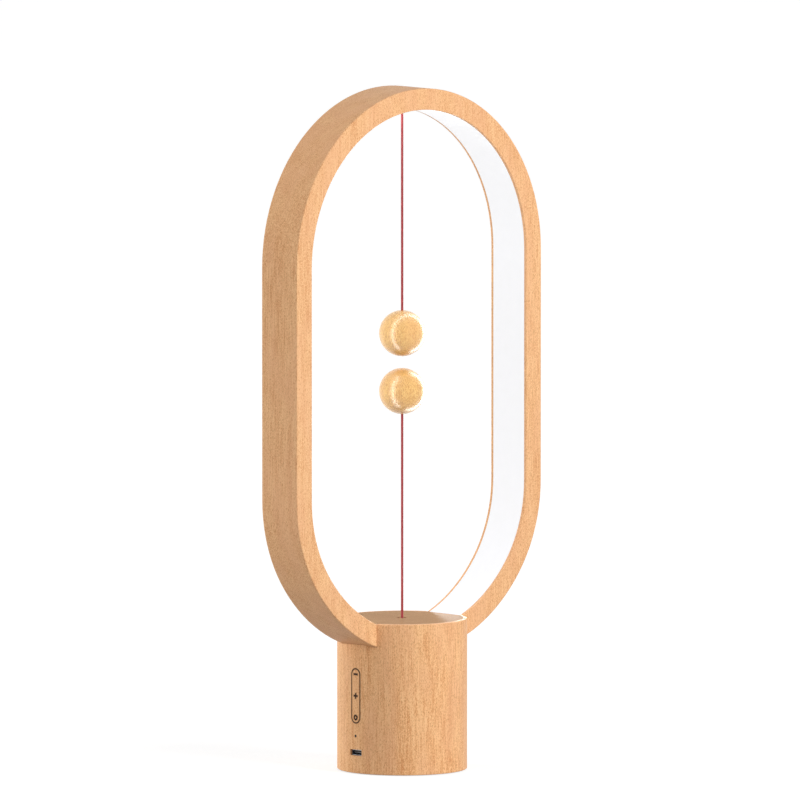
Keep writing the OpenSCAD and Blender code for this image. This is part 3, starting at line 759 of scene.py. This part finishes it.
def plain_mesh(piece: bpy.types.Object, name: str) -> bpy.types.Object:
    """Turns what a piece's modifiers make into a plain mesh object and removes the piece.

    Args:
        piece: the object with live modifiers.
        name: the new object's name.

    Returns:
        The new object, at the origin.
    """
    graph = bpy.context.evaluated_depsgraph_get()
    mesh = bpy.data.meshes.new_from_object(piece.evaluated_get(graph))
    bpy.data.objects.remove(piece)
    made = bpy.data.objects.new(name, mesh)
    mesh.name = name
    bpy.context.scene.collection.objects.link(made)
    return made


class Repeat:
    """A Geometry Nodes tree that repeats one template at the points of a ring or a row."""

    def __init__(self, name: str) -> None:
        """Makes an empty tree with a geometry output."""
        self.tree = bpy.data.node_groups.new(name, "GeometryNodeTree")
        self.tree.interface.new_socket("Geometry", in_out="OUTPUT", socket_type="NodeSocketGeometry")
        self.start = self.tree.nodes.new("NodeGroupInput")
        self.end = self.tree.nodes.new("NodeGroupOutput")

    def size(self, name: str, kind: str) -> bpy.types.NodeSocket:
        """Adds a named input of that socket type and gives the socket that carries it inside the tree."""
        self.tree.interface.new_socket(name, in_out="INPUT", socket_type=kind)
        return self.start.outputs[name]

    def node(self, kind: str, inputs: Mapping[Any, Any]) -> bpy.types.Node:
        """Adds a node with these sockets or values for its inputs."""
        return add_node(self.tree, kind, {}, inputs)

    def finish(self, points: bpy.types.NodeSocket) -> None:
        """Repeats the template at the points and ends the tree.

        Args:
            points: the mesh whose points carry the copies.
        """
        template = self.node("GeometryNodeObjectInfo", {"Object": self.size("Template", "NodeSocketObject")})
        sockets = {"Points": points, "Instance": template.outputs["Geometry"]}
        copies = self.node("GeometryNodeInstanceOnPoints", sockets)
        real = self.node("GeometryNodeRealizeInstances", {"Geometry": copies.outputs[0]})
        finish = self.size("Finish", "NodeSocketMaterial")
        painted = self.node("GeometryNodeSetMaterial", {"Geometry": real.outputs[0], "Material": finish})
        self.tree.links.new(painted.outputs[0], self.end.inputs[0])

    def make(
        self, name: str, template: bpy.types.Object, finish: Finish, sizes: Mapping[str, Any]
    ) -> bpy.types.Object:
        """Runs the tree.

        Args:
            name: the new piece's name.
            template: what is repeated; it is removed afterwards.
            finish: the piece's finish.
            sizes: the tree's named sizes.

        Returns:
            The piece, as a plain mesh.
        """
        carrier = mesh_object(name + "_carrier", np.zeros((1, 3)), [])
        modifier = carrier.modifiers.new("Repeat", "NODES")
        modifier.node_group = self.tree
        values = {**sizes, "Template": template, "Finish": material_of(finish)}
        for item in self.tree.interface.items_tree:
            if item.in_out == "INPUT":
                modifier[item.identifier] = values[item.name]
        made = plain_mesh(carrier, name)
        bpy.data.objects.remove(template)
        return made


def ring_repeat() -> Repeat:
    """A tree that repeats its template on a level ring of points."""
    tree = Repeat("ring_of_copies")
    count = tree.size("Count", "NodeSocketInt")
    radius = tree.size("Radius", "NodeSocketFloat")
    centre = tree.size("Centre", "NodeSocketVector")
    turn = tree.size("Turn", "NodeSocketVector")
    circle = tree.node("GeometryNodeMeshCircle", {"Vertices": count, "Radius": radius})
    move = {"Geometry": circle.outputs[0], "Translation": centre, "Rotation": turn}
    tree.finish(tree.node("GeometryNodeTransform", move).outputs[0])
    return tree


def row_repeat() -> Repeat:
    """A tree that repeats its template along two straight rows."""
    tree = Repeat("rows_of_copies")
    count = tree.size("Count", "NodeSocketInt")
    first = tree.size("First", "NodeSocketVector")
    step = tree.size("Step", "NodeSocketVector")
    apart = tree.size("Apart", "NodeSocketVector")
    line = tree.node("GeometryNodeMeshLine", {"Count": count, "Start Location": first, "Offset": step})
    other = tree.node("GeometryNodeTransform", {"Geometry": line.outputs[0], "Translation": apart})
    both = tree.node("GeometryNodeJoinGeometry", {"Geometry": line.outputs[0]})
    tree.tree.links.new(other.outputs[0], both.inputs[0])
    tree.finish(both.outputs[0])
    return tree


# ---- sub-assemblies


def by_node(**finishes: Finish) -> Any:
    """A dataclass field that gives each of the named CAD nodes its finish."""
    return field(default_factory=lambda: dict(finishes))


@dataclass
class SubAssembly:
    """Part of the lamp: the finish of each of its CAD nodes, and the pieces that the scene adds to them."""

    finishes: dict[str, Finish] = field(default_factory=dict)

    def pieces(self) -> list[bpy.types.Object]:
        """Makes the pieces that the scene adds; most sub-assemblies have none."""
        return []

    def build(self, nodes: Mapping[str, bpy.types.Object]) -> None:
        """Dresses the CAD nodes and makes the other pieces.

        Args:
            nodes: the frame's node objects by name.
        """
        for name, finish in self.finishes.items():
            paint(nodes[name], finish)
            LOG.info("%s: %s", name, finish.name)
        for piece in self.pieces():
            LOG.info("%s: %d faces", piece.name, len(piece.data.polygons))


@dataclass
class LitRing(SubAssembly):
    """The wooden ring with its opal band, lit strip and leads."""

    finishes: dict[str, Finish] = by_node(
        ring_frame=RING_BEECH,
        light_band=OPAL_SILICONE,
        light_strip=STRIP_FILM,
        light_chips=LIGHT_CHIP,
        strip_leads=WIRE_RED,
    )


class Side(Enum):
    """Which of the two balls a pendulum carries, with its seat's end of the cord."""

    UPPER = "top"
    LOWER = "low"


@dataclass
class Pendulum(SubAssembly):
    """A ball with its magnet on a red diamond braid, which runs straight along the lamp's axis to its seat."""

    side: Side = Side.UPPER
    cord_r: float = 0.75 * MM
    strands: int = 4
    pitch: float = 4.2 * MM
    relief: float = 0.13
    around: int = 40
    step: float = 0.16 * MM
    path_points: int = 30

    def __post_init__(self) -> None:
        """Lists the finishes of this side's nodes."""
        name, seat = self.side.name.lower(), self.side.value
        wood = UPPER_BALL_BEECH if self.side is Side.UPPER else LOWER_BALL_BEECH
        self.finishes = {
            f"{name}_ball": wood,
            f"{name}_magnet": NICKEL,
            f"{name}_magnet_plug": wood,
            f"{name}_ball_knot": RED_THREAD,
            f"{seat}_cord_knot": RED_THREAD,
            f"{seat}_cord_seat": TURNED_BRASS,
        }

    def radii(self, heights: np.ndarray) -> np.ndarray:
        """The braid's surface.

        Args:
            heights: heights along the cord.

        Returns:
            A radius for each height and each step round.
        """
        turn = np.arange(self.around)[None, :] / self.around
        climb = heights[:, None] / self.pitch
        right, left = self.strands * (turn + climb), self.strands * (turn - climb)
        over = (np.floor(right) + np.floor(left)) % 2 == 0
        across = np.where(over, right, left) % 1 * 2 - 1
        along = np.where(over, left, right) % 1 * 2 - 1
        pillow = np.sqrt(1 - across**2) * np.sqrt(1 - along**6)
        return self.cord_r * (1 - self.relief * (1 - pillow))

    def pieces(self) -> list[bpy.types.Object]:
        """Makes the braided cord where its CAD solid is."""
        name = self.side.name.lower()
        low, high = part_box(f"{name}_cord")
        length = high.z - low.z
        heights = np.linspace(low.z, high.z, round(length / self.step) + 1)
        cord = lathe(f"{name}_braided_cord", self.radii(heights), heights)
        smooth(cord, 60)
        paint(cord, RED_THREAD)
        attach(cord, f"{name}_line")
        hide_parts(f"{name}_cord")
        path = [(0.0, 0.0, z) for z in np.linspace(low.z, high.z, self.path_points)]
        if self.side is Side.UPPER:
            path.reverse()
        return [cord]


@dataclass
class Base(SubAssembly):
    """The drum: its wood, what carries the ring in it, its weight, cover, foot and countersunk cover screws."""

    finishes: dict[str, Finish] = by_node(
        base_body=BASE_BEECH,
        # The top takes the darker, greyer copy of the beech, which is painted shade.
        base_top=SHADED_TOP_BEECH,
        ring_saddle=WHITE_PLASTIC,
        ring_screws=ZINC_STEEL,
        inner_frame=WHITE_PLASTIC,
        steel_weight=WEIGHT_STEEL,
        bottom_cover=BLACK_PLASTIC,
        foot_ring=FOOT_RUBBER,
    )
    screw_count: int = 4
    head_r: float = 1.5 * MM
    rim: float = 0.2 * MM
    head_t: float = 1.3 * MM
    shank_r: float = 0.9 * MM
    tip: float = 1.0 * MM
    thread_pitch: float = 0.62 * MM
    thread_depth: float = 0.2 * MM
    row_height: float = 0.1 * MM
    tip_share: float = 0.25
    recess_arm: float = 0.85 * MM
    recess_w: float = 0.26 * MM
    recess_depth: float = 0.75 * MM
    recess_start: float = -0.1 * MM
    recess_flare: float = 1.05
    recess_taper: float = 0.45
    around: int = 28

    def screw(self, length: float) -> bpy.types.Object:
        """Makes one screw with a cut thread, its face at the origin and its tip up.

        Args:
            length: its whole length.

        Returns:
            The screw without its recess.
        """
        body = np.arange(self.head_t, length, self.row_height)
        heights = np.concatenate([[0.0, self.rim], body, [length]])
        turn = np.arange(self.around)[None, :] / self.around
        z = heights[:, None] + 0 * turn
        thread = 0.5 + 0.5 * np.cos(2 * math.pi * (z / self.thread_pitch - turn))
        fade = np.clip((z - self.head_t) / self.thread_pitch, 0, 1)
        shank = self.shank_r - self.thread_depth * thread * fade
        shank = shank * np.clip((length - z) / self.tip, self.tip_share, 1)
        cone = self.head_r + (self.shank_r - self.head_r) * (z - self.rim) / (self.head_t - self.rim)
        radii = np.where(z <= self.rim, self.head_r, np.where(z < self.head_t, cone, shank))
        return lathe("screw", radii, heights)

    def recess(self) -> bpy.types.Object:
        """Makes the cutter for the cross recess, narrower at its bottom."""
        arm, half = self.recess_arm, self.recess_w / 2
        quarter = [(arm, -half), (arm, half), (half, half)]
        outline = np.array([(x * c - y * s, x * s + y * c) for c, s in ((1, 0), (0, 1), (-1, 0), (0, -1))
                            for x, y in quarter])
        count = len(outline)
        wide = np.c_[outline * self.recess_flare, np.full(count, self.recess_start)]
        deep = np.c_[outline * self.recess_taper, np.full(count, self.recess_depth)]
        return prism("recess", wide, deep)

    def pieces(self) -> list[bpy.types.Object]:
        """Makes the four cover screws where their CAD solids are."""
        low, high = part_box("cover_screws")
        template, cutter = self.screw(high.z - low.z), self.recess()
        cut = template.modifiers.new("Recess", "BOOLEAN")
        cut.operation, cut.solver, cut.object = "DIFFERENCE", "EXACT", cutter
        template = plain_mesh(template, "screw_template")
        bpy.data.objects.remove(cutter)
        smooth(template, 35)
        sizes = {
            "Count": self.screw_count,
            "Radius": (high.x - self.head_r) * math.sqrt(2),
            "Centre": (0, 0, low.z),
            "Turn": (0, 0, math.pi / self.screw_count),
        }
        screws = ring_repeat().make("cross_recess_screws", template, ZINC_STEEL, sizes)
        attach(screws, "lamp_base")
        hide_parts("cover_screws")
        return [screws]


@dataclass
class TouchPanel(SubAssembly):
    """What lies behind the burnt touch marks, and the indicator below them."""

    finishes: dict[str, Finish] = by_node(
        touch_film=COPPER_FILM,
        touch_springs=SPRING_STEEL,
        indicator_lens=SMOKED_LENS,
    )


@dataclass
class Socket(SubAssembly):
    """The charging socket, with gold contacts on both faces of its tongue."""

    finishes: dict[str, Finish] = by_node(socket_shell=ZINC_STEEL, socket_tongue=GREY_PLASTIC)
    contacts: int = 12
    pitch: float = 0.5 * MM
    width: float = 0.26 * MM
    length: float = 3.6 * MM
    set_back: float = 0.5 * MM
    proud: float = 0.04 * MM
    bed: float = 0.02 * MM

    def contact(self) -> bpy.types.Object:
        """Makes one contact strip with a rounded front, about the origin."""
        half = self.width / 2
        arc = [math.radians(a) for a in range(90, 271, 30)]
        outline = [(half * math.cos(a), half * math.sin(a)) for a in arc]
        outline = np.array(outline + [(self.length, -half), (self.length, half)])
        thick = np.full(len(outline), (self.proud + self.bed) / 2)
        return prism("contact", np.c_[outline, -thick], np.c_[outline, thick])

    def pieces(self) -> list[bpy.types.Object]:
        """Lays the contacts on the tongue."""
        low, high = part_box("socket_tongue")
        middle = (low + high) / 2
        lift = (high.z - low.z) / 2 + (self.proud - self.bed) / 2
        sizes = {
            "Count": self.contacts,
            "First": (low.x + self.set_back, -self.pitch * (self.contacts - 1) / 2, middle.z + lift),
            "Step": (0, self.pitch, 0),
            "Apart": (0, 0, -2 * lift),
        }
        contacts = row_repeat().make("socket_contacts", self.contact(), CONTACT_GOLD, sizes)
        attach(contacts, "lamp_base")
        return [contacts]


@dataclass
class PullSwitch(SubAssembly):
    """The switch that the lower cord works: its rod, spring, body, lever and plunger."""

    finishes: dict[str, Finish] = by_node(
        pull_rod=TURNED_BRASS,
        return_spring=SPRING_STEEL,
        switch_body=BLACK_PLASTIC,
        switch_lever=SPRING_STEEL,
        switch_plunger=RED_PLASTIC,
        lever_pin=ZINC_STEEL,
        switch_terminals=TURNED_BRASS,
        switch_screws=ZINC_STEEL,
        switch_leads=WIRE_BLACK,
    )


@dataclass
class Electronics(SubAssembly):
    """The circuit board and the battery."""

    finishes: dict[str, Finish] = by_node(
        circuit_board=CIRCUIT_GREEN,
        board_chips=CHIP_CASE,
        board_screws=ZINC_STEEL,
        battery=CELL_FOIL,
        battery_tape=WHITE_TAPE,
        battery_leads=WIRE_RED,
    )


# ---- studio


def maths(tree: bpy.types.NodeTree, operation: str, *values: Any) -> bpy.types.NodeSocket:
    """Adds a Math node with these inputs, in order, to a tree and gives its result."""
    return add_node(tree, "ShaderNodeMath", {"operation": operation}, dict(enumerate(values))).outputs[0]


def towards(azimuth: float, elevation: float) -> Vector:
    """The direction from the lamp to what stands at these angles, in degrees; 0, 0 is its front."""
    a, e = math.radians(azimuth), math.radians(elevation)
    return Vector((math.sin(a) * math.cos(e), -math.cos(a) * math.cos(e), math.sin(e)))


def put(name: str, data: bpy.types.ID, place: Vector, facing: Vector, roll: float = 0.0) -> bpy.types.Object:
    """Puts a camera or a light in the scene.

    Args:
        name: its name.
        data: the camera or light.
        place: where it stands.
        facing: the direction that it faces.
        roll: how far it turns about that direction, in radians.

    Returns:
        The object.
    """
    made = bpy.data.objects.new(name, data)
    made.location = place
    made.rotation_mode = "QUATERNION"
    made.rotation_quaternion = facing.to_track_quat("-Z", "Y") @ Quaternion((0, 0, 1), roll)
    bpy.context.scene.collection.objects.link(made)
    return made


@dataclass(frozen=True)
class Softbox:
    """A square light that faces the lamp."""

    name: str
    bearing: float
    height: float
    distance: float
    size: float
    level: float

    def build(self, target: Vector) -> None:
        """Hangs the light.

        Args:
            target: what it faces.
        """
        back = towards(self.bearing, self.height)
        data = bpy.data.lights.new(self.name, "AREA")
        data.shape, data.size = "SQUARE", self.size
        data.energy = self.level * (math.pi * self.distance) ** 2
        light = put(self.name, data, target + back * self.distance, -back)
        light.visible_camera = light.visible_glossy = False


@dataclass(frozen=True)
class BandLight:
    """The lit band's own light: flat lights along its inner face, some for surfaces and some for reflections."""

    top: tuple[float, float] = (0.0, 0.3)
    side: tuple[float, float] = (0.01, 0.1642)
    bottom: tuple[float, float] = (0.0, 0.1717)
    top_r: float = 0.0872
    side_r: float = 0.0772
    bottom_r: float = 0.0897
    join: float = -36.87
    end: float = -66.5
    width: float = 0.025
    shine: float = 1.2
    gleam: float = 9.5
    apart: float = 0.2 * MM

    def bends(self) -> list[tuple[tuple[float, float], float, float, float, int]]:
        """The bends of the ring's right half: centre, radius, first and last angle, and pieces."""
        return [
            (self.top, self.top_r, 0, 90, 6),
            (self.side, self.side_r, self.join, 0, 3),
            (self.bottom, self.bottom_r, self.end, self.join, 3),
        ]

    def places(self) -> list[tuple[Vector, Vector, float]]:
        """Each light's place, the direction that it faces and its length."""
        half = []
        for centre, radius, first, last, pieces in self.bends():
            step = math.radians(last - first) / pieces
            for k in range(pieces):
                a = math.radians(first) + step * (k + 0.5)
                out = Vector((math.cos(a), 0, math.sin(a)))
                half.append((Vector((centre[0], 0, centre[1])) + out * radius, -out, radius * step))
        leg = self.top[1] - self.side[1]
        half.append((Vector((self.top_r, 0, self.side[1] + leg / 2)), Vector((-1, 0, 0)), leg))
        flip = Vector((-1, 1, 1))
        return half + [(place * flip, facing * flip, length) for place, facing, length in half]

    def build(self) -> None:
        """Hangs the lights."""
        for level, reflected, lift in ((self.shine, False, 0.0), (self.gleam, True, self.apart)):
            for place, facing, length in self.places():
                data = bpy.data.lights.new("band_light", "AREA")
                data.shape, data.size, data.size_y = "RECTANGLE", length, self.width
                data.energy = level * math.pi * length * self.width
                light = put("band_light", data, place + facing * lift, facing, math.pi / 2)
                light.visible_camera = light.visible_transmission = False
                light.visible_glossy, light.visible_diffuse = reflected, not reflected


@dataclass
class Studio:
    """Pale floor, white surroundings, soft lights and the photograph's camera."""

    azimuth: float = -44.43
    elevation: float = 5.82
    distance: float = 12.943
    lens: float = 997.8
    sensor: float = 36.0
    sight: float = 200.0
    target: tuple[float, float, float] = (0.0, 0.0, 0.2)
    aim_right: float = -0.00125
    aim_up: float = 0.01666
    ambient: float = 0.34
    floor_colour: Colour = (172, 172, 172)
    floor_lift: float = 0.868
    floor_dip: float = 0.12
    floor_dip_reach: float = 1.4
    floor_half: float = 60.0
    lights: tuple[Softbox, ...] = (
        Softbox("key", 5, 20, 2.4, 0.9, 0.79),
        Softbox("left", -150, 10, 2.4, 0.8, 0.72),
    )

    def camera(self) -> None:
        """Sets up the photograph's camera."""
        back, turn = towards(self.azimuth, self.elevation), math.radians(self.azimuth)
        right = Vector((math.cos(turn), math.sin(turn), 0.0))
        up = back.cross(right)
        data = bpy.data.cameras.new("photo_camera")
        data.lens, data.sensor_width, data.clip_end = self.lens, self.sensor, self.sight
        place = Vector(self.target) + back * self.distance + right * self.aim_right + up * self.aim_up
        bpy.context.scene.camera = put("photo_camera", data, place, -back)

    def seen(self, tree: bpy.types.NodeTree) -> bpy.types.NodeSocket:
        """1 for rays that look at the surroundings: camera, glossy or transmission.

        Args:
            tree: the node tree.

        Returns:
            The socket that carries it.
        """
        path = tree.nodes.new("ShaderNodeLightPath").outputs
        either = maths(tree, "MAXIMUM", path["Is Camera Ray"], path["Is Glossy Ray"])
        return maths(tree, "MAXIMUM", either, path["Is Transmission Ray"])

    def world(self) -> None:
        """Sets the white surroundings and the soft light that they give."""
        world = bpy.data.worlds.new("studio")
        world.use_nodes = True
        tree = world.node_tree
        tree.nodes.clear()
        light, white = (
            add_node(tree, "ShaderNodeBackground", {}, {"Color": (1, 1, 1, 1), "Strength": strength}).outputs[0]
            for strength in (self.ambient, 1.0)
        )
        mix = add_node(tree, "ShaderNodeMixShader", {}, {0: self.seen(tree), 1: light, 2: white})
        add_node(tree, "ShaderNodeOutputWorld", {}, {"Surface": mix.outputs[0]})
        bpy.context.scene.world = world

    def glow(self, tree: bpy.types.NodeTree) -> bpy.types.NodeSocket:
        """The floor's own light, a little lower under the lamp, where the lamps fall, so that its shadow shows.

        Args:
            tree: the node tree.

        Returns:
            The socket that carries it.
        """
        point = tree.nodes.new("ShaderNodeNewGeometry").outputs["Position"]
        reach = add_node(tree, "ShaderNodeVectorMath", {"operation": "LENGTH"}, {0: point})
        far = maths(tree, "DIVIDE", reach.outputs["Value"], self.floor_dip_reach)
        spread = maths(tree, "ADD", maths(tree, "POWER", far, 2.0), 1.0)
        return maths(tree, "SUBTRACT", self.floor_lift, maths(tree, "DIVIDE", self.floor_dip, spread))

    def floor(self) -> None:
        """Lays the pale floor."""
        half = self.floor_half
        corners = np.array([[-half, -half, 0], [half, -half, 0], [half, half, 0], [-half, half, 0]])
        floor = mesh_object("floor", corners, [(0, 1, 2, 3)])
        material = bpy.data.materials.new("pale_floor")
        material.use_nodes = True
        tree = material.node_tree
        tree.nodes.clear()
        matt = add_node(tree, "ShaderNodeBsdfDiffuse", {}, {"Color": linear(self.floor_colour)})
        strength = maths(tree, "MULTIPLY", self.seen(tree), self.glow(tree))
        glow = add_node(tree, "ShaderNodeEmission", {}, {"Strength": strength})
        both = add_node(tree, "ShaderNodeAddShader", {}, {0: matt.outputs[0], 1: glow.outputs[0]})
        add_node(tree, "ShaderNodeOutputMaterial", {}, {"Surface": both.outputs[0]})
        floor.data.materials.append(material)

    def build(self) -> None:
        """Sets up the camera, the surroundings, the floor and the lights."""
        self.camera()
        self.world()
        self.floor()
        for light in self.lights:
            light.build(Vector(self.target))
        BandLight().build()
        bpy.context.scene.view_settings.view_transform = "Standard"


def main() -> None:
    """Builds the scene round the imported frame."""
    logging.basicConfig(level=logging.INFO, format="%(name)s: %(message)s")
    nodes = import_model()["nodes"]
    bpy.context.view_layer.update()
    Studio().build()
    pendulums = (Pendulum(side=Side.UPPER), Pendulum(side=Side.LOWER))
    for part in (*pendulums, LitRing(), Base(), TouchPanel(), Socket(), PullSwitch(), Electronics()):
        part.build(nodes)


if __name__ == "__main__":
    main()
